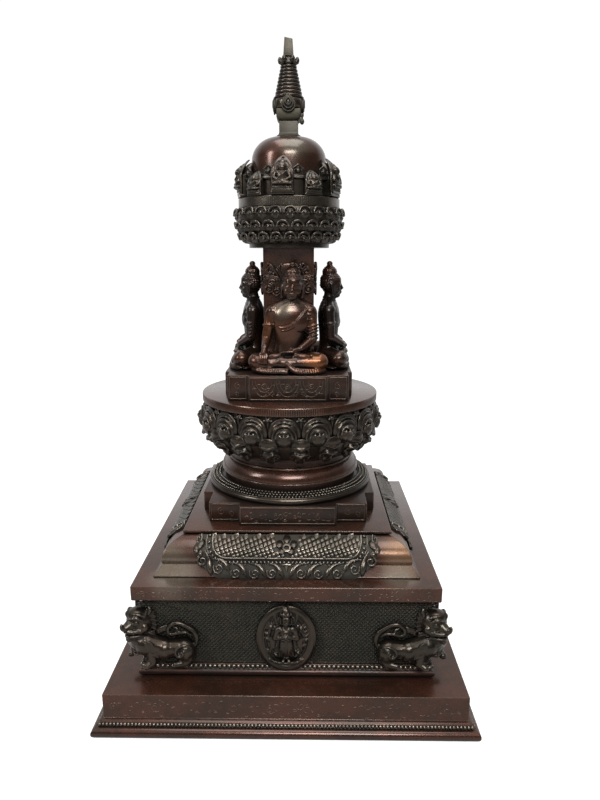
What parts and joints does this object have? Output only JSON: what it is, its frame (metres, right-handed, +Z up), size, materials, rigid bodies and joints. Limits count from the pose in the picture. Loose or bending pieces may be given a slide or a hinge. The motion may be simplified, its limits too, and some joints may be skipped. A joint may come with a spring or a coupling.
{
  "type": "stupa statue",
  "caption": "Cast bronze altar stupa: stepped square base, lotus bowl, pillar with seated figures, domed drum and ringed spire, to stand on a shelf or altar.",
  "frame": {"origin": "middle of the plinth's underside, on the surface that the stupa stands on", "axes": "+Z up along the spire, -Y towards the front face, +X to the right of someone who looks at the front"},
  "size_m": [0.336, 0.336, 0.6],
  "materials": {
    "polished_bronze": "smooth oxidised bronze, rubbed to a red-brown gloss",
    "patina_bronze": "graved bronze with a dark patina in the cuts",
    "relief_bronze": "cast relief, nearly black in the hollows and rubbed grey-beige on the edges",
    "figure_bronze": "warm coppery brown, rubbed bright on the chest and knees",
    "worn_bronze": "plain olive-grey bronze, little patinated"
  },
  "bodies": {
    "root": {"plinth": "polished_bronze", "cornice": "polished_bronze", "cushion_tier": "polished_bronze", "cushion_slab": "polished_bronze", "bell_ring": "polished_bronze", "lotus_disc": "polished_bronze", "pillar": "polished_bronze", "dome": "polished_bronze", "die": "patina_bronze", "stepped_block": "patina_bronze", "pedestal": "patina_bronze", "medallion_front": "relief_bronze", "medallion_right": "relief_bronze", "medallion_back": "relief_bronze", "medallion_left": "relief_bronze", "lion_front_right": "relief_bronze", "lion_back_right": "relief_bronze", "lion_back_left": "relief_bronze", "lion_front_left": "relief_bronze", "apron_front": "relief_bronze", "apron_right": "relief_bronze", "apron_back": "relief_bronze", "apron_left": "relief_bronze", "leaf_ring": "relief_bronze", "lotus_bowl": "relief_bronze", "halo_front": "relief_bronze", "halo_right": "relief_bronze", "halo_back": "relief_bronze", "halo_left": "relief_bronze", "upper_lotus": "relief_bronze", "niche_drum": "relief_bronze", "niche_1": "relief_bronze", "niche_2": "relief_bronze", "niche_3": "relief_bronze", "niche_4": "relief_bronze", "niche_5": "relief_bronze", "harmika": "relief_bronze", "spire": "relief_bronze", "collar": "relief_bronze", "figure_front": "figure_bronze", "figure_right": "figure_bronze", "figure_back": "figure_bronze", "figure_left": "figure_bronze", "neck": "worn_bronze", "corner_drop": "worn_bronze", "tang": "worn_bronze"}
  },
  "joints": []
}
